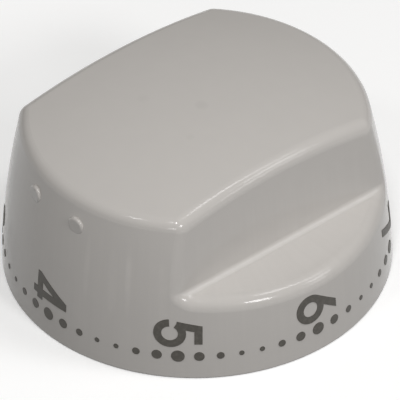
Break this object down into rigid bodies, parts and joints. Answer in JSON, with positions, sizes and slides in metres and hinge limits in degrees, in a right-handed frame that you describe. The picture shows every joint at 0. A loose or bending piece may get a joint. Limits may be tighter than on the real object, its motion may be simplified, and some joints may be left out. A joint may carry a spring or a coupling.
{
  "type": "refrigerator temperature control knob",
  "caption": "Round moulded control knob with a bar grip between two ledges, a crowned top, a printed number scale on its skirt and a D-shaped spindle socket.",
  "frame": {"origin": "centre of the rim's plane, on the axis of the spindle socket", "axes": "+Z along the knob's axis, out of its crowned top; Y along the bar grip, with the scale's middle number at -Y"},
  "size_m": [0.045, 0.045, 0.023],
  "materials": {
    "light_grey_plastic": "moulded light warm grey, glossy with a faint haze",
    "scale_ink": "dark grey pad-printed ink, satin"
  },
  "bodies": {
    "root": {"knob": "light_grey_plastic", "scale_print": "scale_ink"}
  },
  "joints": []
}
